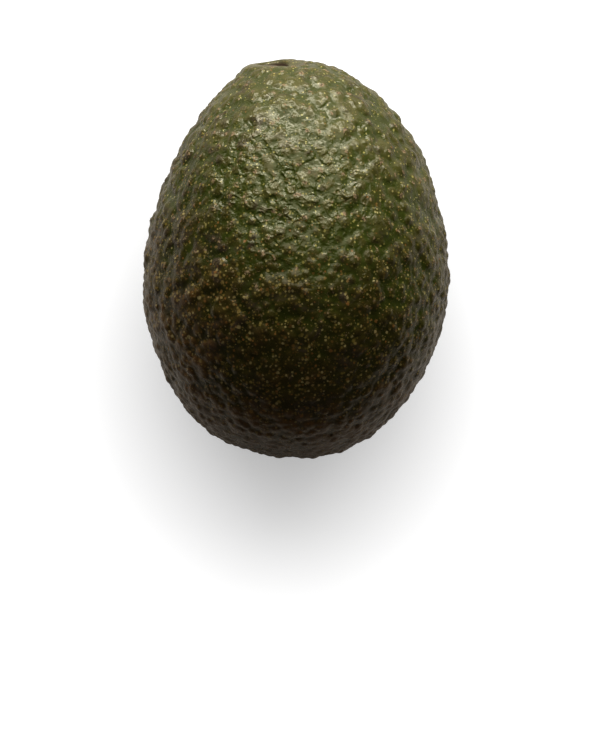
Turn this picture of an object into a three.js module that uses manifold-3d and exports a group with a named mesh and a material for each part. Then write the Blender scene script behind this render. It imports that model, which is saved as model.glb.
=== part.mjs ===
// A ripe avocado with dark pebbled skin, picked, lying on its side on a flat surface.
// Units are millimetres and +Z is up. The stem end points to +Y and the blossom end to -Y.
// The origin is on the surface that the fruit lies on, under the middle of its outline.

import * as THREE from "three";
import { mergeVertices } from "three/addons/utils/BufferGeometryUtils.js";
import Module from "manifold-3d";

const degrees = THREE.MathUtils.degToRad;

// The egg that the fruit swells from, before its skin is roughened
const LENGTH = 93.4; // stem tip to blossom tip
const WIDTH = 70.4;
const HEIGHT = 68.4; // a little flatter than wide
const WIDEST_SHIFT = 0.145; // of half the length: how far the widest ring lies towards the blossom end
const STEM_FULLNESS = 0.015; // how much fuller than an ellipse the stem shoulder is
const BLOSSOM_FULLNESS = -0.052; // the same at the blossom shoulder, which is slimmer
const STEM_BEND = 4.2; // how far the stem tip leans towards -X
const BLOSSOM_BEND = 1.2; // and the blossom tip towards +X
const BEND_POWER = 8; // keeps each lean to its tip

// How it lies
const STEM_DROOP = degrees(4.5); // the narrow end dips
const TURN = degrees(-3.4); // seen from above
const REST_DEPTH = 0.4; // of skin pressed flat where the fruit touches the surface
const REST_SMOOTH = [5, 11]; // from the touching point: the skin is smooth within, fully rough beyond

// Broad hollows and swellings of the whole skin
const SWELL_HEIGHT = 0.35;
const SWELL_WAVES = 6;
const SWELL_LENGTH = [4.2, 7.5]; // each wave's length over two pi

// Pebbles of the skin
const PEBBLES = 900;
const PEBBLE_RADIUS = [3.0, 5.0];
const PEBBLE_HEIGHT = [0.45, 1.05];
const PEBBLE_SINK = 0.45; // keeps the roughened skin about as large as the egg
const PEBBLE_JITTER = 0.55; // of the spacing
const SMOOTH_STEM = [7, 24]; // from the stem socket: smooth within, fully pebbled beyond

// Where the pebbles are flatter: a calm patch on the upper side, and some creased patches
const CALM_PATCH = { at: [2, -24, 27], reach: 26 };
const CALM = 0.85; // how much flatter the pebbles are in the middle of it
const CREASED_PATCHES = [
  { at: [-4, 19, 28], reach: 18 },
  { at: [30, -6, -10], reach: 15 },
  { at: [-22, 6, -24], reach: 16 },
  { at: [8, 20, -27], reach: 14 },
];
const CREASED = 0.6; // how much flatter they are in the middle of those

// Stem end: the tip is blunted by a flat facing a little upwards and towards -X
const BLUNT_UP = degrees(13.5);
const BLUNT_TURN = degrees(3);
const BLUNT_REACH = 52.4; // from the egg's middle
const BLUNT_ROUND = 4; // how softly it meets the rest of the egg

// The socket that the stem grew from, off the tip's middle, in a flat lip that faces the same way
const STEM_ASIDE = degrees(8); // where it is: towards -X
const STEM_UP = degrees(9); // and towards +Z
const LIP_HEIGHT = -0.5;
const LIP_EDGE = [4.2, 10]; // from the socket's middle: flat within, back on the egg beyond
const LIP_FOLDS = [
  { at: [3.2, 0, -4.6], radius: 4.2, height: 0.9 }, // the lower lip swells out
  { at: [4.4, 0, 3.4], radius: 2.8, height: -0.8 }, // the upper one has a notch
];
const SOCKET_RADIUS = 3.2;
const SOCKET_DEPTH = 3.2;
const SOCKET_MOUTH = 3.8;
const SOCKET_FLARE = 1; // depth over which the mouth narrows to the socket

// Stem button: the dry stub that stays in the socket when the fruit is picked
const BUTTON_GAP = 0.3;
const BUTTON_HEIGHT = 2.1;
const BUTTON_RIM = 0.6; // height of the rounded edge
const STUB_RADIUS = 1.2;
const STUB_HEIGHT = 0.5;
const BARK_RIBS = 9;
const BARK_RIB_DEPTH = 0.12;

// Blossom end: the small scar that the flower leaves
const SCAR_TILT = degrees(7); // from the blossom tip towards -Z
const SCAR_RADIUS = 3.2;
const SCAR_DEPTH = 0.7;

const SKIN_DETAIL = 22; // cuts along each edge of the icosahedron that the skin is drawn on
const CROWDING = 0.5; // draws the skin's vertices together round the socket
const CROWDING_REACH = 0.6; // radians
const LATHE_SEGMENTS = 36;
const SEED = 41;

const STEM_AXIS = new THREE.Vector3(0, Math.cos(BLUNT_UP), Math.sin(BLUNT_UP)).applyAxisAngle(
  new THREE.Vector3(0, 0, 1),
  BLUNT_TURN,
);

const wasm = await Module();
wasm.setup();

// A small random number generator, so that every run grows the same fruit
function seededRandom(seed) {
  let state = seed;
  return () => {
    state = (Math.imul(state, 1664525) + 1013904223) >>> 0;
    return state / 4294967296;
  };
}

const between = ([low, high], share) => low + (high - low) * share;
const smoothstep = ([low, high], x) => THREE.MathUtils.smoothstep(x, low, high);

// The lower of a height and zero, rounded over where they meet
function softCeiling(height, round) {
  const share = THREE.MathUtils.clamp(0.5 - (0.5 * height) / round, 0, 1);
  return height * share - round * share * (1 - share);
}

// The egg's surface in a direction from its middle
function eggPoint(direction) {
  const along = direction.y;
  const shoulder = 4 * along * along * (1 - along * along);
  const girth = 1 + (along > 0 ? STEM_FULLNESS : BLOSSOM_FULLNESS) * shoulder;
  const bend = (along > 0 ? -STEM_BEND : BLOSSOM_BEND) * Math.abs(along) ** BEND_POWER;
  const point = new THREE.Vector3(
    (WIDTH / 2) * direction.x * girth + bend,
    (LENGTH / 2) * along * (1 + WIDEST_SHIFT * along),
    (HEIGHT / 2) * direction.z * girth,
  );
  const above = point.dot(STEM_AXIS) - BLUNT_REACH;
  return point.addScaledVector(STEM_AXIS, softCeiling(above, BLUNT_ROUND) - above);
}

// A point of the egg and the outward normal there, by differences
function eggFrame(direction) {
  const across = new THREE.Vector3(direction.z, 0, -direction.x);
  if (across.lengthSq() < 1e-12) across.set(1, 0, 0);
  across.normalize();
  const upward = new THREE.Vector3().crossVectors(across, direction);
  const nudged = (way) => eggPoint(direction.clone().addScaledVector(way, 1e-3).normalize());
  const at = eggPoint(direction);
  const normal = nudged(across)
    .sub(at)
    .cross(nudged(upward).sub(at))
    .normalize();
  if (normal.dot(direction) < 0) normal.negate();
  return { at, normal };
}

// Directions spread evenly by the golden angle
function spiral(count, jitter, random) {
  const golden = Math.PI * (3 - Math.sqrt(5));
  const spacing = Math.sqrt((4 * Math.PI) / count);
  return Array.from({ length: count }, (_, i) => {
    const y = 1 - (2 * i + 1) / count;
    const r = Math.sqrt(1 - y * y);
    const nudge = () => (random() - 0.5) * 2 * jitter * spacing;
    return new THREE.Vector3(
      r * Math.cos(golden * i) + nudge(),
      y + nudge(),
      r * Math.sin(golden * i) + nudge(),
    ).normalize();
  });
}

function makeSwell(random) {
  const waves = Array.from({ length: SWELL_WAVES }, () => ({
    way: new THREE.Vector3(random() - 0.5, random() - 0.5, random() - 0.5)
      .normalize()
      .divideScalar(between(SWELL_LENGTH, random())),
    phase: 2 * Math.PI * random(),
  }));
  return (p) =>
    (SWELL_HEIGHT / SWELL_WAVES) *
    2 *
    waves.reduce((sum, w) => sum + Math.sin(p.dot(w.way) + w.phase), 0);
}

function makePebbles(random) {
  const pebbles = spiral(PEBBLES, PEBBLE_JITTER, random).map((direction) => ({
    at: eggPoint(direction),
    radius: between(PEBBLE_RADIUS, random()),
    height: between(PEBBLE_HEIGHT, random()),
  }));
  return (p) =>
    pebbles.reduce((top, { at, radius, height }) => {
      const share = p.distanceToSquared(at) / (radius * radius);
      return share < 1 ? Math.max(top, height * (1 - share)) : top;
    }, 0) - PEBBLE_SINK;
}

// How much of its full height a pebble keeps at a point of the egg
function flattened(point) {
  const inPatch = ({ at, reach }) =>
    Math.exp(-((point.distanceTo(new THREE.Vector3(...at)) / reach) ** 2));
  const creased = CREASED_PATCHES.reduce((sum, patch) => sum + inPatch(patch), 0);
  return (1 - CALM * inPatch(CALM_PATCH)) * (1 - CREASED * Math.min(1, creased));
}

const random = seededRandom(SEED);
const swell = makeSwell(random);
const pebbled = makePebbles(random);

const stemDirection = new THREE.Vector3(
  -Math.sin(STEM_ASIDE),
  1,
  Math.sin(STEM_UP),
).normalize();
const stem = eggFrame(stemDirection);
const folds = LIP_FOLDS.map(({ at, radius, height }) => ({
  middle: stem.at.clone().add(new THREE.Vector3(...at)),
  radius,
  height,
}));
const scar = eggFrame(
  new THREE.Vector3(0, -Math.cos(SCAR_TILT), -Math.sin(SCAR_TILT)),
);

// The fruit's own frame laid down: the stem end dips, and the whole turns a little
const lying = new THREE.Group();
lying.rotation.set(-STEM_DROOP, 0, TURN, "ZYX");
lying.updateMatrix();
const down = new THREE.Vector3(0, 0, -1).transformDirection(
  lying.matrix.clone().invert(),
);

function scarRelief(distance) {
  return -SCAR_DEPTH * (1 - smoothstep([0, SCAR_RADIUS], distance));
}

// Draws the skin round the socket on to the plane of its lip, then folds the lip
function shapeLip(point) {
  const height = point.clone().sub(stem.at).dot(STEM_AXIS);
  const share = 1 - smoothstep(LIP_EDGE, point.distanceTo(stem.at));
  point.addScaledVector(STEM_AXIS, (LIP_HEIGHT - height) * share);
  const folded = folds.reduce(
    (sum, fold) => sum + fold.height * Math.exp(-((point.distanceTo(fold.middle) / fold.radius) ** 2)),
    0,
  );
  return point.addScaledVector(STEM_AXIS, folded);
}

// The corners of a finely cut icosahedron as directions, crowded round the socket
function skinDirections() {
  const sphere = new THREE.IcosahedronGeometry(1, SKIN_DETAIL);
  sphere.deleteAttribute("normal");
  sphere.deleteAttribute("uv");
  const merged = mergeVertices(sphere, 1e-5);
  const position = merged.attributes.position;
  const v = new THREE.Vector3();
  const axis = new THREE.Vector3();
  for (let i = 0; i < position.count; i++) {
    v.fromBufferAttribute(position, i).normalize();
    const polar = v.angleTo(stemDirection);
    const drawn = CROWDING * polar * Math.exp(-((polar / CROWDING_REACH) ** 2));
    v.applyAxisAngle(axis.crossVectors(v, stemDirection).normalize(), drawn);
    position.setXYZ(i, v.x, v.y, v.z);
  }
  return merged;
}

// The skin as a closed mesh, raised from the egg along its normals
function skinGeometry() {
  const geometry = skinDirections();
  const position = geometry.attributes.position;
  const frames = [];
  const v = new THREE.Vector3();
  for (let i = 0; i < position.count; i++)
    frames.push(eggFrame(v.fromBufferAttribute(position, i).clone().normalize()));
  const touching = frames.reduce((low, f) => (f.at.dot(down) > low.at.dot(down) ? f : low)).at;
  frames.forEach(({ at, normal }, i) => {
    const offRest = smoothstep(REST_SMOOTH, at.distanceTo(touching));
    const rough = smoothstep(SMOOTH_STEM, at.distanceTo(stem.at)) * offRest * flattened(at);
    const height =
      swell(at) * offRest +
      pebbled(at) * rough +
      scarRelief(at.distanceTo(scar.at));
    const raised = shapeLip(at.clone().addScaledVector(normal, height));
    position.setXYZ(i, raised.x, raised.y, raised.z);
  });
  lying.position.z = touching.dot(down) - REST_DEPTH;
  lying.updateMatrix();
  return geometry;
}

// A closed three.js mesh as a manifold-3d solid
function solidOf(geometry) {
  const bare = geometry.clone();
  bare.deleteAttribute("normal");
  bare.deleteAttribute("uv");
  const merged = mergeVertices(bare, 1e-4);
  return new wasm.Manifold(
    new wasm.Mesh({
      numProp: 3,
      vertProperties: merged.attributes.position.array,
      triVerts: new Uint32Array(merged.index.array),
    }),
  );
}

function geometryOf(solid) {
  const { vertProperties, triVerts } = solid.getMesh();
  return new THREE.BufferGeometry()
    .setAttribute("position", new THREE.BufferAttribute(vertProperties, 3))
    .setIndex(new THREE.BufferAttribute(triVerts, 1));
}

// Places what is drawn about +Y, with its rim at height 0, on the stem socket's axis
function stemPlace(geometry) {
  const turn = new THREE.Quaternion().setFromUnitVectors(new THREE.Vector3(0, 1, 0), STEM_AXIS);
  const place = new THREE.Matrix4().compose(
    stem.at.clone().addScaledVector(STEM_AXIS, LIP_HEIGHT),
    turn,
    new THREE.Vector3(1, 1, 1),
  );
  return geometry.applyMatrix4(place);
}

// The cup that the button sits in, as the block to be cut away
function socketCutter() {
  const profile = [
    new THREE.Vector2(0, -SOCKET_DEPTH),
    new THREE.Vector2(SOCKET_RADIUS - 0.8, -SOCKET_DEPTH),
    new THREE.Vector2(SOCKET_RADIUS, -SOCKET_DEPTH + 0.8),
    new THREE.Vector2(SOCKET_RADIUS, -SOCKET_FLARE),
    new THREE.Vector2(SOCKET_MOUTH, 0),
    new THREE.Vector2(SOCKET_MOUTH + 1, 2),
    new THREE.Vector2(0, 2),
  ];
  return stemPlace(new THREE.LatheGeometry(profile, LATHE_SEGMENTS));
}

// Everything under the surface that the fruit lies on
function floorBlock() {
  const size = 2 * LENGTH;
  return new THREE.BoxGeometry(size, size, size)
    .translate(0, 0, -size / 2)
    .applyMatrix4(lying.matrix.clone().invert());
}

function fruitGeometry() {
  const skin = solidOf(skinGeometry());
  return geometryOf(skin.subtract(solidOf(socketCutter())).subtract(solidOf(floorBlock())));
}

// The button: a ribbed woody disc with the clipped stub standing in its middle
function buttonGeometry() {
  const radius = SOCKET_RADIUS - BUTTON_GAP;
  const foot = -SOCKET_DEPTH + BUTTON_GAP;
  const top = foot + BUTTON_HEIGHT;
  const profile = [
    new THREE.Vector2(0, foot),
    new THREE.Vector2(radius - 1.0, foot),
    new THREE.Vector2(radius - 0.25, foot + 0.8),
    new THREE.Vector2(radius, top - BUTTON_RIM),
    new THREE.Vector2(radius - 0.25, top - 0.2),
    new THREE.Vector2(radius - BUTTON_RIM, top),
    new THREE.Vector2(STUB_RADIUS + 0.6, top - 0.25),
    new THREE.Vector2(STUB_RADIUS, top + 0.1),
    new THREE.Vector2(STUB_RADIUS - 0.1, top + STUB_HEIGHT - 0.2),
    new THREE.Vector2(STUB_RADIUS - 0.35, top + STUB_HEIGHT),
    new THREE.Vector2(0, top + STUB_HEIGHT - 0.15),
  ];
  const geometry = new THREE.LatheGeometry(profile, LATHE_SEGMENTS);
  const position = geometry.attributes.position;
  for (let i = 0; i < position.count; i++) {
    const x = position.getX(i);
    const z = position.getZ(i);
    const rib = 1 - (BARK_RIB_DEPTH / radius) * (1 + Math.cos(BARK_RIBS * Math.atan2(z, x)));
    position.setXYZ(i, x * rib, position.getY(i), z * rib);
  }
  return stemPlace(geometry);
}

const fruit = new THREE.Mesh(
  fruitGeometry(),
  new THREE.MeshStandardMaterial({ color: 0x3a3d20, roughness: 0.45, metalness: 0 }),
);
fruit.name = "fruit";

const stemButton = new THREE.Mesh(
  buttonGeometry(),
  new THREE.MeshStandardMaterial({ color: 0x5a4330, roughness: 0.9, metalness: 0 }),
);
stemButton.name = "stem_button";

for (const mesh of [fruit, stemButton]) mesh.geometry.computeVertexNormals();
lying.add(fruit, stemButton);

// Brings the middle of the outline over the origin
const outline = new THREE.Box3().setFromObject(lying, true);
const middle = outline.getCenter(new THREE.Vector3());
lying.position.x -= middle.x;
lying.position.y -= middle.y;

const avocado = new THREE.Group();
avocado.add(lying);

export default avocado;
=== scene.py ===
import math

import bmesh
import bpy
import numpy as np
from mathutils import Matrix, Vector


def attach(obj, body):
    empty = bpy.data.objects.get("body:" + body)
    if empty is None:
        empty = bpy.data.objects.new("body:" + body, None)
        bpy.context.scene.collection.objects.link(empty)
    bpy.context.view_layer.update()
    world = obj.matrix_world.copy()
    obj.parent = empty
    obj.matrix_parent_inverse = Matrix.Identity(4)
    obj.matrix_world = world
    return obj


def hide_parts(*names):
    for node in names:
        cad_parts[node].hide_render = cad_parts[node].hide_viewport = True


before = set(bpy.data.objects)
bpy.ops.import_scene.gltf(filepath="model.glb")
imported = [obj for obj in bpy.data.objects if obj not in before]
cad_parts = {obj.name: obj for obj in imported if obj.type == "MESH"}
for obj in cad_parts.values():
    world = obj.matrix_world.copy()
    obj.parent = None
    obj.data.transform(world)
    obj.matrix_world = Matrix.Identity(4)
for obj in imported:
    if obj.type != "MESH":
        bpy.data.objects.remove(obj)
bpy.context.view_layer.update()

MM = 0.001

# The egg that the fruit swells from, in millimetres, as in the part's own source
LENGTH, WIDTH, HEIGHT = 93.4, 70.4, 68.4
WIDEST_SHIFT = 0.145
STEM_FULLNESS, BLOSSOM_FULLNESS = 0.015, -0.052
STEM_BEND, BLOSSOM_BEND, BEND_POWER = 4.2, 1.2, 8
STEM_DROOP, TURN = math.radians(4.5), math.radians(-3.4)
REST_DEPTH, REST_SMOOTH = 0.4, (5, 11)
SWELL_HEIGHT, SWELL_WAVES, SWELL_LENGTH = 0.35, 6, (4.2, 7.5)
SMOOTH_STEM = (7, 24)
BLUNT_UP, BLUNT_TURN = math.radians(13.5), math.radians(3)
BLUNT_REACH, BLUNT_ROUND = 52.4, 4
STEM_ASIDE, STEM_UP = math.radians(8), math.radians(9)
LIP_HEIGHT, LIP_EDGE = -0.5, (4.2, 10)
LIP_FOLDS = (((3.2, 0, -4.6), 4.2, 0.9), ((4.4, 0, 3.4), 2.8, -0.8))
SCAR_TILT, SCAR_RADIUS, SCAR_DEPTH = math.radians(7), 3.2, 0.7

# Lumps that the part's source has too, then the fine pebbles between and on them
LUMPS = dict(count=900, jitter=0.55, radius=(3.0, 5.0), height=(0.45, 1.05), sink=0.45)
PEBBLES = dict(count=3000, jitter=0.5, radius=(0.95, 1.65), height=(0.18, 0.54), sink=0.15)
SCABBED, SCAB_WIDTH = 0.3, 0.5
SEED, PEBBLE_SEED, SCAB_SEED, PIT_SEED = 41, 7, 5, 19
GOLDEN_ANGLE = math.pi * (3 - math.sqrt(5))

# Where the lumps are flatter, as in the part's source: a calm patch, and some creased ones
CALM_PATCH = ((2, -24, 27), 26)
CALM = 0.85
CREASED_PATCHES = (
    ((-4, 19, 28), 18), ((30, -6, -10), 15), ((-22, 6, -24), 16), ((8, 20, -27), 14),
)
CREASED = 0.6

# Round pits, mostly in the creased patches, where the fine pebbles are lower
PITS = dict(count=4400, jitter=0.5, radius=(0.85, 1.5), height=(0.25, 0.5), sink=0)
PITTED_ALL_OVER = 0.12
LOST_TO_PITS = 0.7

# How near the socket the fine pebbles start, and how far the scar's dry middle reaches
FINE_STEM = (3.5, 9)
DRY_SCAR = 1.2

# Heights of lumps, pebbles and pits that count as one full crest in the skin's colours
LUMP_CREST, PEBBLE_CREST, PIT_CREST = 0.6, 0.22, 0.3

# Socket, as a curve of radius and depth from its middle out to the flat lip
SOCKET_CURVE = (
    (0.0, -3.2), (1.8, -3.2), (2.7, -3.0), (3.1, -2.5), (3.25, -1.6), (3.4, -0.9),
    (3.7, -0.35), (4.1, -0.05), (4.6, 0.0),
)
SOCKET_SPAN = 4.6
# How near the mouth the socket is pressed, and how deep its wall turns wholly dark: dry tissue,
# and painted shade in the recess
NEAR_MOUTH, WHOLLY_DRY_AND_SHADED = 6, 2

# How much closer the mesh is drawn together at the socket, and within what angle
CROWDING, CROWDING_REACH = 0.5, 0.6

# Distances to all domes are worked out for this many points at a time, to fit in memory
POINTS_AT_ONCE = 4000


def unit(v):
    v = np.asarray(v, float)
    return v / np.linalg.norm(v, axis=-1, keepdims=True)


def smoothstep(low_high, x):
    t = np.clip((x - low_high[0]) / (low_high[1] - low_high[0]), 0, 1)
    return t * t * (3 - 2 * t)


def seeded_random(seed):
    """The part's own random numbers, so that the same lumps grow in the same places."""
    state = seed
    while True:
        state = (state * 1664525 + 1013904223) & 0xFFFFFFFF
        yield state / 4294967296


def between(low_high, share):
    return low_high[0] + (low_high[1] - low_high[0]) * share


STEM_AXIS = np.array(
    Matrix.Rotation(BLUNT_TURN, 3, "Z") @ Vector((0, math.cos(BLUNT_UP), math.sin(BLUNT_UP)))
)


def egg_points(directions):
    """Where each direction from the middle meets the egg, with its stem end cut blunt."""
    along = directions[:, 1]
    shoulder = 4 * along**2 * (1 - along**2)
    girth = 1 + np.where(along > 0, STEM_FULLNESS, BLOSSOM_FULLNESS) * shoulder
    bend = np.where(along > 0, -STEM_BEND, BLOSSOM_BEND) * np.abs(along) ** BEND_POWER
    points = np.stack(
        (
            WIDTH / 2 * directions[:, 0] * girth + bend,
            LENGTH / 2 * along * (1 + WIDEST_SHIFT * along),
            HEIGHT / 2 * directions[:, 2] * girth,
        ),
        axis=1,
    )
    above = points @ STEM_AXIS - BLUNT_REACH
    share = np.clip(0.5 - 0.5 * above / BLUNT_ROUND, 0, 1)
    kept = above * share - BLUNT_ROUND * share * (1 - share)
    return points + np.outer(kept - above, STEM_AXIS)


def egg_normals(directions, step=1e-3):
    """Outward normals of the egg, from a small step each way along its surface."""
    across = np.stack(
        (directions[:, 2], np.zeros(len(directions)), -directions[:, 0]), axis=1
    )
    across[np.linalg.norm(across, axis=1) < 1e-6] = (1, 0, 0)
    across = unit(across)
    upward = np.cross(across, directions)
    here = egg_points(directions)
    one = egg_points(unit(directions + step * across)) - here
    two = egg_points(unit(directions + step * upward)) - here
    normals = unit(np.cross(one, two))
    facing = np.sign(np.sum(normals * directions, axis=1))
    return normals * facing[:, None]


def spiral(count, jitter, draws):
    """Directions spread evenly by the golden angle, each nudged a little."""
    spacing = math.sqrt(4 * math.pi / count)
    i = np.arange(count)
    y = 1 - (2 * i + 1) / count
    r = np.sqrt(1 - y * y)
    even = np.stack((r * np.cos(GOLDEN_ANGLE * i), y, r * np.sin(GOLDEN_ANGLE * i)), axis=1)
    nudges = np.array([next(draws) for _ in range(3 * count)]).reshape(count, 3)
    return unit(even + (nudges - 0.5) * 2 * jitter * spacing)


def make_swell(draws):
    """Long low waves in all directions, as a height at each point."""
    waves = []
    for _ in range(SWELL_WAVES):
        way = unit([next(draws) - 0.5 for _ in range(3)])
        length = between(SWELL_LENGTH, next(draws))
        waves.append((way / length, 2 * math.pi * next(draws)))
    return lambda p: (
        SWELL_HEIGHT / SWELL_WAVES * 2 * sum(np.sin(p @ way + phase) for way, phase in waves)
    )


def make_domes(draws, count, jitter, radius, height, sink):
    """A field of round domes: how high it is at each point, and the dome there."""
    middles = egg_points(spiral(count, jitter, draws))
    sizes = np.array([next(draws) for _ in range(2 * count)]).reshape(count, 2)
    radii = between(radius, sizes[:, 0])
    heights = between(height, sizes[:, 1])

    def relief(points):
        top, owner, share = np.zeros((3, len(points)))
        for start in range(0, len(points), POINTS_AT_ONCE):
            part = slice(start, start + POINTS_AT_ONCE)
            squared = (
                (points[part] ** 2).sum(1)[:, None]
                + (middles**2).sum(1)
                - 2 * points[part] @ middles.T
            ) / radii**2
            raised = heights * (1 - squared)
            which = raised.argmax(axis=1)
            row = np.arange(len(which))
            top[part] = np.maximum(0, raised[row, which])
            owner[part], share[part] = which, squared[row, which]
        return top - sink, owner.astype(int), share

    return relief


draws = seeded_random(SEED)
swell = make_swell(draws)
lumps = make_domes(draws, **LUMPS)
pebbles = make_domes(seeded_random(PEBBLE_SEED), **PEBBLES)
pits = make_domes(seeded_random(PIT_SEED), **PITS)
scab_draws = seeded_random(SCAB_SEED)

stem_direction = unit((-math.sin(STEM_ASIDE), 1, math.sin(STEM_UP)))
stem_at = egg_points(stem_direction[None])[0]
mouth = stem_at + LIP_HEIGHT * STEM_AXIS
scar_at = egg_points(np.array([[0, -math.cos(SCAR_TILT), -math.sin(SCAR_TILT)]]))[0]

# The fruit's own frame laid down: the stem end dips, and the whole turns a little
LYING = np.array(Matrix.Rotation(TURN, 3, "Z") @ Matrix.Rotation(-STEM_DROOP, 3, "X"))


def crowd_round_socket(directions):
    """Draws directions together round the socket, where the skin bends most."""
    polar = np.arccos(np.clip(directions @ stem_direction, -1, 1))
    side = directions - np.outer(directions @ stem_direction, stem_direction)
    side = side / np.maximum(np.linalg.norm(side, axis=1, keepdims=True), 1e-9)
    polar = polar * (1 - CROWDING * np.exp(-((polar / CROWDING_REACH) ** 2)))
    return np.outer(np.cos(polar), stem_direction) + np.sin(polar)[:, None] * side


def shape_lip(points):
    """Draws the skin round the socket on to the plane of its lip, then folds the lip."""
    height = (points - stem_at) @ STEM_AXIS
    share = 1 - smoothstep(LIP_EDGE, np.linalg.norm(points - stem_at, axis=1))
    points = points + np.outer((LIP_HEIGHT - height) * share, STEM_AXIS)
    folded = np.zeros(len(points))
    for middle, radius, rise in LIP_FOLDS:
        away = np.linalg.norm(points - stem_at - np.array(middle), axis=1)
        folded += rise * np.exp(-((away / radius) ** 2))
    return points + np.outer(folded, STEM_AXIS)


def press_socket(points):
    """Pushes the skin in the middle of the lip down along the socket's curve."""
    from_mouth = points - mouth
    height = from_mouth @ STEM_AXIS
    side = from_mouth - np.outer(height, STEM_AXIS)
    radius = np.linalg.norm(side, axis=1)
    side = side / np.maximum(radius, 1e-9)[:, None]
    inside = (radius < SOCKET_SPAN) & (np.abs(height) < NEAR_MOUTH)
    curve = np.array(SOCKET_CURVE)
    steps = np.linalg.norm(np.diff(curve, axis=0), axis=1)
    run = np.concatenate(([0], np.cumsum(steps)))
    reach = radius / SOCKET_SPAN * run[-1]
    new_radius = np.interp(reach, run, curve[:, 0])
    depth = np.interp(reach, run, curve[:, 1])
    pressed = (
        mouth + side * new_radius[:, None] + np.outer(depth + height, STEM_AXIS)
    )
    # Darker deeper in: the wall's dry tissue, and painted shade in the recess
    dryness_and_shade = inside * np.clip(-depth / WHOLLY_DRY_AND_SHADED, 0, 1)
    return np.where(inside[:, None], pressed, points), dryness_and_shade


def lay_down(points, touching):
    """From the fruit's own frame to the one it lies in, pressed flat on the surface."""
    laid = points @ LYING.T
    laid[:, 2] -= (touching @ LYING.T)[2] + REST_DEPTH
    laid[:, 2] = np.maximum(laid[:, 2], 0)
    return laid


def in_patch(points, patch):
    """One in the middle of a patch, fading away from it."""
    at, reach = patch
    return np.exp(-((np.linalg.norm(points - np.array(at), axis=1) / reach) ** 2))


def fine_ball():
    """A ball of even small triangles, to be shaped into the skin."""
    bm = bmesh.new()
    bmesh.ops.create_icosphere(bm, subdivisions=6, radius=1)
    bmesh.ops.subdivide_edges(bm, edges=bm.edges[:], cuts=2, use_grid_fill=True)
    bmesh.ops.triangulate(bm, faces=[f for f in bm.faces if len(f.verts) > 3])
    mesh = bpy.data.meshes.new("skin")
    bm.to_mesh(mesh)
    bm.free()
    return mesh


def keep_for_material(mesh, name, values):
    """Keeps a number for each vertex, which the skin's material reads."""
    layer = mesh.attributes.new(name, "FLOAT", "POINT")
    layer.data.foreach_set("value", values.astype(np.float32))


def make_skin():
    mesh = fine_ball()
    count = len(mesh.vertices)
    ball = np.empty(3 * count)
    mesh.vertices.foreach_get("co", ball)
    directions = crowd_round_socket(unit(ball.reshape(count, 3)))
    at = egg_points(directions)
    normals = egg_normals(directions)
    touching = at[(at @ LYING.T)[:, 2].argmin()]
    from_rest = smoothstep(REST_SMOOTH, np.linalg.norm(at - touching, axis=1))
    from_stem = np.linalg.norm(at - stem_at, axis=1)
    from_scar = np.linalg.norm(at - scar_at, axis=1)

    # How much of the lumps, the fine pebbles and the pits each place has
    calm = 1 - CALM * in_patch(at, CALM_PATCH)
    creased = np.minimum(1, sum(in_patch(at, patch) for patch in CREASED_PATCHES))
    pebbly = smoothstep(SMOOTH_STEM, from_stem) * from_rest * calm
    rough = pebbly * (1 - CREASED * creased)
    fine_rough = smoothstep(FINE_STEM, from_stem) * from_rest * np.sqrt(calm)
    pitted = np.maximum(PITTED_ALL_OVER, creased) * np.minimum(pebbly, fine_rough)

    lump = lumps(at)[0]
    pebble, dome, share = pebbles(at)
    pit = pits(at)[0]
    scabbed = np.array([next(scab_draws) for _ in range(PEBBLES["count"])]) < SCABBED
    scab = scabbed[dome] * np.clip(1 - np.sqrt(np.maximum(share, 0)) / SCAB_WIDTH, 0, 1)
    height = (
        swell(at) * from_rest
        + lump * rough
        + pebble * (fine_rough - LOST_TO_PITS * pitted)
        - pit * pitted
        - SCAR_DEPTH * (1 - smoothstep((0, SCAR_RADIUS), from_scar))
    )
    points = shape_lip(at + normals * height[:, None])
    points, socket = press_socket(points)
    laid = lay_down(points, touching)
    middle = (laid.min(axis=0) + laid.max(axis=0)) / 2
    laid[:, :2] -= middle[:2]
    mesh.vertices.foreach_set("co", (laid * MM).ravel())
    mesh.polygons.foreach_set("use_smooth", np.ones(len(mesh.polygons), bool))

    crest = (
        lump * rough / LUMP_CREST
        + pebble * fine_rough / PEBBLE_CREST
        - pit * pitted / PIT_CREST
    )
    keep_for_material(mesh, "crest", crest)
    keep_for_material(mesh, "pebbled", fine_rough)
    keep_for_material(mesh, "pitted", pitted)
    keep_for_material(mesh, "scab", scab * fine_rough)
    keep_for_material(mesh, "socket", socket)
    keep_for_material(mesh, "scar", 1 - smoothstep((DRY_SCAR, SCAR_RADIUS), from_scar))
    mesh.update()
    skin = bpy.data.objects.new("avocado_skin", mesh)
    bpy.context.scene.collection.objects.link(skin)

    def place(own):
        """A point of the fruit's own frame as it lies in the scene, in millimetres."""
        laid_one = lay_down(np.asarray(own, float)[None], touching)[0]
        laid_one[:2] -= middle[:2]
        return laid_one

    return skin, place


skin, place = make_skin()
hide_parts("fruit")
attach(skin, "root")


# The dry stub in the socket: a curve of radius and height, and ribs by count, phase and size
BUTTON_RADIUS, BUTTON_FOOT, BUTTON_TOP = 2.9, -2.9, -0.8
BUTTON_CURVE = (
    (0.02, BUTTON_FOOT), (1.9, BUTTON_FOOT), (2.65, -2.1), (2.88, -1.5), (2.8, -1.1),
    (2.55, -0.86), (2.2, BUTTON_TOP), (1.9, -0.98), (1.6, -0.95), (1.25, -0.75),
    (1.15, -0.5), (0.95, -0.32), (0.55, -0.36), (0.02, -0.45),
)
CURVE_STEPS, TURN_STEPS = 60, 120
BUTTON_RIBS = ((5, 0.4, 0.045), (9, 1.9, 0.05), (14, 0.8, 0.035), (23, 2.6, 0.025))
RIB_SPREAD, RIB_RISE, DRIED_IN = 0.5, 0.9, 0.03


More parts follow.
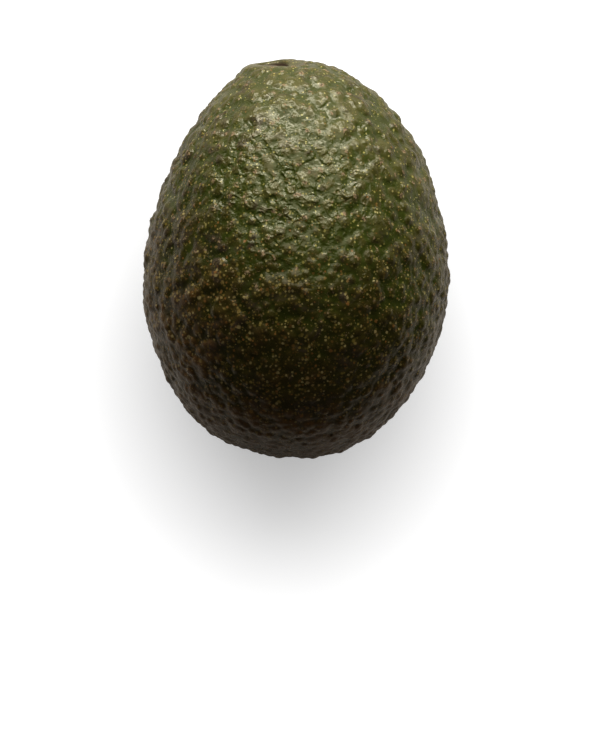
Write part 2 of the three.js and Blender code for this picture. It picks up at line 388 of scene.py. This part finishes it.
def make_button():
    bm = bmesh.new()
    curve = np.array(BUTTON_CURVE)
    steps = np.concatenate(([0], np.cumsum(np.linalg.norm(np.diff(curve, axis=0), axis=1))))
    fine = np.linspace(0, steps[-1], CURVE_STEPS)
    radii = np.interp(fine, steps, curve[:, 0])
    heights = np.interp(fine, steps, curve[:, 1])
    ring = [bm.verts.new((r, 0, h)) for r, h in zip(radii, heights)]
    edges = [bm.edges.new(pair) for pair in zip(ring, ring[1:])]
    bmesh.ops.spin(
        bm, geom=ring + edges, cent=(0, 0, 0), axis=(0, 0, 1), angle=2 * math.pi,
        steps=TURN_STEPS, use_merge=True,
    )
    bmesh.ops.remove_doubles(bm, verts=bm.verts[:], dist=1e-4)
    bmesh.ops.holes_fill(bm, edges=[e for e in bm.edges if e.is_boundary])
    bmesh.ops.recalc_face_normals(bm, faces=bm.faces[:])
    turn = Vector(STEM_AXIS).to_track_quat("Z", "Y").to_matrix()
    for v in bm.verts:
        angle = math.atan2(v.co.y, v.co.x)
        reach = math.hypot(v.co.x, v.co.y) / BUTTON_RADIUS
        rib = sum(size * math.sin(n * angle + phase) for n, phase, size in BUTTON_RIBS)
        v.co.x *= 1 + rib * RIB_SPREAD - DRIED_IN
        v.co.y *= 1 + rib * RIB_SPREAD - DRIED_IN
        v.co.z += RIB_RISE * rib * reach
        v.co = Vector(place(mouth + np.array(turn @ v.co))) * MM
    mesh = bpy.data.meshes.new("button")
    bm.to_mesh(mesh)
    bm.free()
    mesh.polygons.foreach_set("use_smooth", np.ones(len(mesh.polygons), bool))
    button = bpy.data.objects.new("dry_button", mesh)
    bpy.context.scene.collection.objects.link(button)
    return button


button = make_button()
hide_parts("stem_button")
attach(button, "root")


class Graph:
    """A short way to make and join shader nodes."""

    def __init__(self, tree):
        self.tree = tree

    def node(self, kind, inputs=None, **settings):
        made = self.tree.nodes.new(kind)
        for name, value in settings.items():
            setattr(made, name, value)
        for name, value in (inputs or {}).items():
            self.join(value, made.inputs[name])
        return made

    def join(self, value, socket):
        if isinstance(value, bpy.types.NodeSocket):
            self.tree.links.new(value, socket)
        else:
            socket.default_value = value

    def math(self, operation, a, b=0.0):
        made = self.node("ShaderNodeMath", operation=operation)
        self.join(a, made.inputs[0])
        self.join(b, made.inputs[1])
        return made.outputs[0]

    def sum(self, a, b):
        return self.math("ADD", a, b)

    def product(self, a, b):
        return self.math("MULTIPLY", a, b)

    def ramp(self, value, low, high, to_low=0.0, to_high=1.0, smooth=True):
        made = self.node(
            "ShaderNodeMapRange",
            {
                "Value": value,
                "From Min": low,
                "From Max": high,
                "To Min": to_low,
                "To Max": to_high,
            },
            interpolation_type="SMOOTHSTEP" if smooth else "LINEAR",
        )
        return made.outputs["Result"]

    def stretch(self, noise, to_low, to_high):
        """Noise lies mostly between 0.3 and 0.7, and is stretched from there."""
        return self.ramp(noise, 0.3, 0.7, to_low, to_high)

    def mix(self, share, a, b):
        made = self.node("ShaderNodeMix", data_type="RGBA")
        self.join(share, made.inputs[0])
        self.join(a, made.inputs[6])
        self.join(b, made.inputs[7])
        return made.outputs[2]

    def noise(self, place, scale, detail=4.0, rough=0.55, warp=0.0):
        made = self.node(
            "ShaderNodeTexNoise",
            {
                "Vector": place,
                "Scale": scale,
                "Detail": detail,
                "Roughness": rough,
                "Distortion": warp,
            },
        )
        return made.outputs["Fac"]

    def cells(self, place, scale, feature="F1"):
        return self.node(
            "ShaderNodeTexVoronoi", {"Vector": place, "Scale": scale}, feature=feature
        )

    def attribute(self, name):
        return self.node("ShaderNodeAttribute", attribute_name=name).outputs["Fac"]

    def colours(self, value, stops):
        made = self.node("ShaderNodeValToRGB", {"Fac": value})
        ramp = made.color_ramp
        while len(ramp.elements) < len(stops):
            ramp.elements.new(0.5)
        for element, (position, colour) in zip(ramp.elements, stops):
            element.position = position
            element.color = (*colour, 1)
        return made.outputs["Color"]


def new_material(name):
    material = bpy.data.materials.new(name)
    material.use_nodes = True
    graph = Graph(material.node_tree)
    shader = material.node_tree.nodes["Principled BSDF"]
    return material, graph, shader


# How fine each pattern is, in cells or waves a metre
BROAD, PATCHES, CLOUDS, WAX = 28, 95, 150, 240
RIDGE_DRIFT, RIDGE_CELLS, RIDGE_BREAKS, WELLS = 380, 450, 260, 330
WRINKLES, GRAIN, RAGGED_SCABS, CORK_GRAIN = 520, 2400, 1100, 2200
RAGGED_PORES, SOCKET_FIBRE, STUB_FIBRE = 2600, 700, 900

# Fine pores, then large ones: cells a metre, then the least and greatest size of a pore as a
# share of its cell, where less than nothing leaves the cell without one
PORES = ((1400, (-0.05, 0.54)), (800, (-0.2, 0.38)))

# How far the ridges' cells are drawn out of shape, in metres, and a well's size in cells
DRIFT = (0.0026, 0.0026, 0.0026)
WELL_RADIUS = 0.38

# Colours in linear light, from green at the stem end to brown black at the blossom end
RIPENING = (
    (0.0, (0.066, 0.063, 0.013)),
    (0.3, (0.046, 0.043, 0.0085)),
    (0.55, (0.029, 0.026, 0.0035)),
    (0.8, (0.031, 0.021, 0.004)),
    (1.0, (0.076, 0.036, 0.011)),
)
PORE_TINTS = ((0.0, (0.50, 0.44, 0.12)), (0.45, (0.24, 0.19, 0.04)), (0.8, (0.15, 0.092, 0.018)))
PALE_PORE, RUSTY_PORE = (0.30, 0.25, 0.12, 1), (0.17, 0.075, 0.018, 1)
PURPLE_BROWN = (0.034, 0.022, 0.016, 1)
# Hollows' colours, darker than the skin round them: the skin's deeper green with painted shade
# in the hollows
GREEN_HOLLOW_AND_SHADE, RIPE_HOLLOW_AND_SHADE = (0.024, 0.038, 0.003, 1), (0.009, 0.010, 0.001, 1)
DARK_CORK, PALE_CORK = (0.030, 0.014, 0.006, 1), (0.26, 0.17, 0.085, 1)
# Dark wood, for the socket's wall and the blossom scar; on the socket's wall it is partly
# painted shade
DARK_WOOD_AND_SOCKET_SHADE = (
    (0.25, (0.010, 0.005, 0.003)),
    (0.5, (0.030, 0.015, 0.008)),
    (0.8, (0.060, 0.034, 0.018)),
)
PALE_WOOD = (
    (0.25, (0.012, 0.006, 0.004)),
    (0.48, (0.060, 0.030, 0.015)),
    (0.62, (0.115, 0.063, 0.032)),
    (0.8, (0.21, 0.14, 0.080)),
)

# Wax on the skin: how rough it is, and how it reflects straight on
WAX_ROUGHNESS = (0.17, 0.28)
DRY_ROUGHER, RIPE_ROUGHER = 0.4, 0.07
WAX_SPECULAR, WAX_TINT = 0.32, (1, 0.91, 0.64, 1)


def thin_ridges(g, place_out):
    """Thin crooked ridges round small hollows, broken here and there, in millimetres."""
    drift = g.node(
        "ShaderNodeTexNoise", {"Vector": place_out, "Scale": RIDGE_DRIFT, "Detail": 3.0}
    )
    moved = g.node(
        "ShaderNodeVectorMath",
        {0: drift.outputs["Color"], 1: DRIFT, 2: place_out},
        operation="MULTIPLY_ADD",
    ).outputs["Vector"]
    edge = g.cells(moved, RIDGE_CELLS, "DISTANCE_TO_EDGE").outputs["Distance"]
    broken = g.ramp(g.noise(place_out, RIDGE_BREAKS, 2), 0.38, 0.56, 0, 0.8)
    creases = g.product(g.ramp(edge, 0.30, 0.0, 0, 0.2), broken)
    in_well = g.cells(moved, WELLS).outputs["Distance"]
    off_rim = g.math("ABSOLUTE", g.math("SUBTRACT", in_well, WELL_RADIUS))
    rim = g.ramp(off_rim, 0.2, 0.0, 0, 0.16)
    floor_of_well = g.ramp(in_well, 0.2, WELL_RADIUS, -0.06, 0)
    return g.sum(creases, g.sum(rim, floor_of_well))


def make_dry_wood():
    """Colour and fibre height of dry woody tissue, as one group for both materials; its dark
    end, on the socket's wall, is partly painted shade.
    """
    tree = bpy.data.node_groups.new("dry_wood", "ShaderNodeTree")
    tree.interface.new_socket("Place", in_out="INPUT", socket_type="NodeSocketVector")
    tree.interface.new_socket("Scale", in_out="INPUT", socket_type="NodeSocketFloat")
    tree.interface.new_socket("Paleness", in_out="INPUT", socket_type="NodeSocketFloat")
    tree.interface.new_socket("Colour", in_out="OUTPUT", socket_type="NodeSocketColor")
    tree.interface.new_socket("Fibre", in_out="OUTPUT", socket_type="NodeSocketFloat")
    g = Graph(tree)
    given = g.node("NodeGroupInput").outputs
    fibre = g.noise(given["Place"], given["Scale"], 6, 0.7, 0.6)
    dark = g.colours(fibre, DARK_WOOD_AND_SOCKET_SHADE)
    pale = g.colours(fibre, PALE_WOOD)
    made = g.node("NodeGroupOutput")
    g.join(g.mix(given["Paleness"], dark, pale), made.inputs["Colour"])
    g.join(fibre, made.inputs["Fibre"])
    return tree


dry_wood = make_dry_wood()


def dry_wood_in(g, place_out, scale, paleness):
    made = g.node("ShaderNodeGroup", node_tree=dry_wood)
    g.join(place_out, made.inputs["Place"])
    g.join(scale, made.inputs["Scale"])
    g.join(paleness, made.inputs["Paleness"])
    return made.outputs


def fine_relief(g, place_out, pebbled, pitted):
    """Faint wrinkles, grain and ridges that the mesh is too coarse for, in millimetres."""
    wrinkle = g.stretch(g.noise(place_out, WRINKLES, 3, 0.5, 0.6), 0, 0.10)
    grain = g.stretch(g.noise(place_out, GRAIN, 2, 0.5), 0, 0.004)
    ridges = g.product(thin_ridges(g, place_out), pitted)
    return g.sum(g.sum(g.product(wrinkle, pebbled), grain), ridges)


def how_ripe(g, place_out, crest, leftward):
    """How far each place has turned from green to brown black."""
    along = g.node("ShaderNodeSeparateXYZ", {"Vector": place_out}).outputs["Y"]
    ripe = g.sum(g.ramp(along, 0.040, -0.044, smooth=False), leftward)
    ripe = g.sum(ripe, g.stretch(g.noise(place_out, BROAD, 3), -0.13, 0.13))
    ripe = g.sum(ripe, g.stretch(g.noise(place_out, PATCHES, 5, 0.6, 0.4), -0.13, 0.13))
    return g.sum(ripe, g.ramp(crest, -0.6, 1.4, -0.05, 0.07))


def with_pores(g, place_out, ripe, colour):
    """The skin's colour with its pores: tiny pale specks, some of them rusty."""
    tint = g.colours(ripe, PORE_TINTS)
    sparser = g.sum(g.ramp(ripe, 0.4, 0.0, 0.0, -0.13), g.ramp(ripe, 0.45, 0.75, 0, 0.13))
    for scale, sizes in PORES:
        cells = g.cells(place_out, scale)
        chance = g.node("ShaderNodeSeparateColor", {"Color": cells.outputs["Color"]}).outputs
        uneven = g.stretch(g.noise(place_out, RAGGED_PORES, 2), -0.07, 0.07)
        ragged = g.sum(cells.outputs["Distance"], uneven)
        size = g.sum(g.ramp(chance["Red"], 0.0, 1, *sizes, smooth=False), sparser)
        size = g.math("MAXIMUM", size, 0.001)
        near = g.ramp(ragged, size, g.product(size, 0.5))
        kind = g.mix(g.ramp(chance["Green"], 0.5, 1, 0, 0.5), tint, PALE_PORE)
        kind = g.mix(g.ramp(chance["Blue"], 0.6, 0.9), kind, RUSTY_PORE)
        strength = g.ramp(chance["Green"], 0.0, 1.0, 0.3, 0.9)
        colour = g.mix(g.product(near, strength), colour, kind)
    return colour


def skin_material():
    material, g, shader = new_material("pebbled_avocado_skin")
    place_out = g.node("ShaderNodeTexCoord").outputs["Object"]
    across = g.node("ShaderNodeSeparateXYZ", {"Vector": place_out}).outputs["X"]
    leftward = g.ramp(across, 0.000, -0.036, 0, 0.15)
    crest = g.attribute("crest")
    ripe = how_ripe(g, place_out, crest, leftward)
    colour = g.colours(ripe, RIPENING)

    # Purple brown clouds, more of them to the left
    cloud = g.noise(place_out, CLOUDS, 6, 0.62, 0.8)
    cloudy = g.ramp(g.sum(cloud, g.product(leftward, 0.6)), 0.52, 0.68, 0, 0.6)
    colour = g.mix(cloudy, colour, PURPLE_BROWN)

    # Hollows between the pebbles are a deeper, darker green: partly the skin's own green, partly
    # painted shade in the hollows
    hollow_shade = g.ramp(crest, 0.1, -0.75)
    green = g.mix(g.ramp(ripe, 0.25, 0.8), GREEN_HOLLOW_AND_SHADE, RIPE_HOLLOW_AND_SHADE)
    colour = g.mix(g.product(hollow_shade, 0.7), colour, green)
    colour = with_pores(g, place_out, ripe, colour)

    # Corky scabs on some of the domes, fewer where the skin is ripe
    ragged = g.stretch(g.noise(place_out, RAGGED_SCABS, 4, 0.6), -0.45, 0.35)
    scab = g.ramp(g.sum(g.attribute("scab"), ragged), 0.25, 0.5)
    scab = g.product(scab, g.ramp(ripe, 0.85, 0.5, 0.15, 1))
    cork_shade = g.ramp(g.noise(place_out, CORK_GRAIN, 3), 0.4, 0.62)
    cork = g.mix(cork_shade, DARK_CORK, PALE_CORK)
    colour = g.mix(g.product(scab, 0.85), colour, cork)

    # Socket's wall and the blossom scar are dry and brown; the socket's wall is dark wood,
    # darkest deeper in, partly painted shade in the recess
    bark_and_socket_shade = dry_wood_in(g, place_out, SOCKET_FIBRE, 0.0)["Colour"]
    dry_and_shaded_socket = g.ramp(g.attribute("socket"), 0.05, 0.5)
    dry_and_socket_shade = g.math("MAXIMUM", dry_and_shaded_socket, g.product(g.attribute("scar"), 0.8))
    colour = g.mix(dry_and_socket_shade, colour, bark_and_socket_shade)
    g.join(colour, shader.inputs["Base Color"])

    # Wax, duller where the skin is dry, corky or ripe
    rough = g.stretch(g.noise(place_out, WAX, 4), *WAX_ROUGHNESS)
    rough = g.sum(rough, g.product(g.math("MAXIMUM", dry_and_socket_shade, scab), DRY_ROUGHER))
    rough = g.sum(rough, g.ramp(ripe, 0.5, 0.85, 0, RIPE_ROUGHER))
    g.join(rough, shader.inputs["Roughness"])
    shader.inputs["Specular IOR Level"].default_value = WAX_SPECULAR
    shader.inputs["Specular Tint"].default_value = WAX_TINT
    relief = fine_relief(g, place_out, g.attribute("pebbled"), g.attribute("pitted"))
    bump = g.node("ShaderNodeBump", {"Height": relief, "Strength": 1.0, "Distance": MM})
    g.join(bump.outputs["Normal"], shader.inputs["Normal"])
    return material


def button_material():
    material, g, shader = new_material("dry_woody_stub")
    place_out = g.node("ShaderNodeTexCoord").outputs["Object"]
    wood = dry_wood_in(g, place_out, STUB_FIBRE, 1.0)
    g.join(wood["Colour"], shader.inputs["Base Color"])
    shader.inputs["Roughness"].default_value = 0.85
    bump = g.node(
        "ShaderNodeBump", {"Height": wood["Fibre"], "Strength": 0.8, "Distance": 0.3 * MM}
    )
    g.join(bump.outputs["Normal"], shader.inputs["Normal"])
    return material


skin.data.materials.append(skin_material())
button.data.materials.append(button_material())


# Table: it shows the camera alone a painted glow, and the shade round the fruit is a weaker glow
# within these distances of a middle, a painted shadow
TABLE_REACH, TABLE_DROP = 3, 0.05 * MM
SHADE_MIDDLE, SHADE_SPAN = (-0.0025, -0.015, 0), (0.033, 0.0765)
PAINTED_SHADE_GLOW, PAINTED_OPEN_GLOW = 0.44, 0.90
TABLE_SEEN, TABLE_ON_FRUIT = (0.62, 0.62, 0.62, 1), (0.65, 0.58, 0.50, 1)


def make_table():
    """A white surface, which gives a slightly warmer light to the fruit than to the camera, and
    shows the camera alone a painted glow, weaker round the fruit as a painted shadow.
    """
    bm = bmesh.new()
    bmesh.ops.create_grid(bm, x_segments=1, y_segments=1, size=TABLE_REACH)
    bmesh.ops.translate(bm, verts=bm.verts[:], vec=(0, 0, -TABLE_DROP))
    mesh = bpy.data.meshes.new("table")
    bm.to_mesh(mesh)
    bm.free()
    table = bpy.data.objects.new("table", mesh)
    bpy.context.scene.collection.objects.link(table)
    material, g, shader = new_material("white_table")
    shader.inputs["Roughness"].default_value = 0.9
    shader.inputs["Specular IOR Level"].default_value = 0.2
    shader.inputs["Emission Color"].default_value = (1, 1, 1, 1)
    away = g.node("ShaderNodeVectorMath", operation="DISTANCE")
    g.join(g.node("ShaderNodeTexCoord").outputs["Object"], away.inputs[0])
    away.inputs[1].default_value = SHADE_MIDDLE
    painted_glow = g.ramp(away.outputs["Value"], *SHADE_SPAN, PAINTED_SHADE_GLOW, PAINTED_OPEN_GLOW, smooth=False)
    seen = g.node("ShaderNodeLightPath").outputs["Is Camera Ray"]
    g.join(g.mix(seen, TABLE_ON_FRUIT, TABLE_SEEN), shader.inputs["Base Color"])
    # Only camera rays see the painted glow, with its painted shadow round the fruit
    g.join(g.product(seen, painted_glow), shader.inputs["Emission Strength"])
    mesh.materials.append(material)


make_table()

# Two soft boxes beyond the stem end, aimed at the middle of the fruit, and a faint surround
LAMP_DISTANCE, LAMP_AIM = 0.9, 0.03
SURROUND = 0.03


def add_lamp(name, width, depth, radiance, elevation, aside):
    """A soft box that faces the fruit from beyond its stem end."""
    lamp = bpy.data.lights.new(name, "AREA")
    lamp.shape = "RECTANGLE"
    lamp.size, lamp.size_y = width, depth
    lamp.energy = radiance * math.pi * width * depth
    lamp_object = bpy.data.objects.new(name, lamp)
    bpy.context.scene.collection.objects.link(lamp_object)
    elevation = math.radians(elevation)
    toward = Vector((aside, math.cos(elevation), math.sin(elevation)))
    lamp_object.location = toward * LAMP_DISTANCE + Vector((0, 0, LAMP_AIM))
    lamp_object.rotation_euler = toward.to_track_quat("Z", "Y").to_euler()


add_lamp("wide_soft_box", width=1.1, depth=0.85, radiance=2.6, elevation=40, aside=0.05)
add_lamp("key_soft_box", width=1.2, depth=0.13, radiance=26, elevation=15, aside=0.04)

world = bpy.data.worlds.new("white_surround")
world.use_nodes = True
world.node_tree.nodes["Background"].inputs["Color"].default_value = (1, 1, 1, 1)
world.node_tree.nodes["Background"].inputs["Strength"].default_value = SURROUND
bpy.context.scene.world = world
bpy.context.scene.view_settings.view_transform = "Standard"

# Looking straight down, from as far as a long lens needs, with the fruit above the middle
LENS, SENSOR, PIXELS_PER_MM, MIDDLE_HEIGHT = 100, 36, 4.29, 34
PICTURE_HEIGHT, PIXELS_ACROSS, PIXELS_DOWN = 750, 3.5, 117.5
camera = bpy.data.cameras.new("camera")
camera.lens = LENS
camera.sensor_width = SENSOR
camera.shift_x = PIXELS_ACROSS / PICTURE_HEIGHT
camera.shift_y = -PIXELS_DOWN / PICTURE_HEIGHT
camera_object = bpy.data.objects.new("camera", camera)
distance = PICTURE_HEIGHT / PIXELS_PER_MM * LENS / SENSOR
camera_object.location = (0, 0, (distance + MIDDLE_HEIGHT) * MM)
bpy.context.scene.collection.objects.link(camera_object)
bpy.context.scene.camera = camera_object
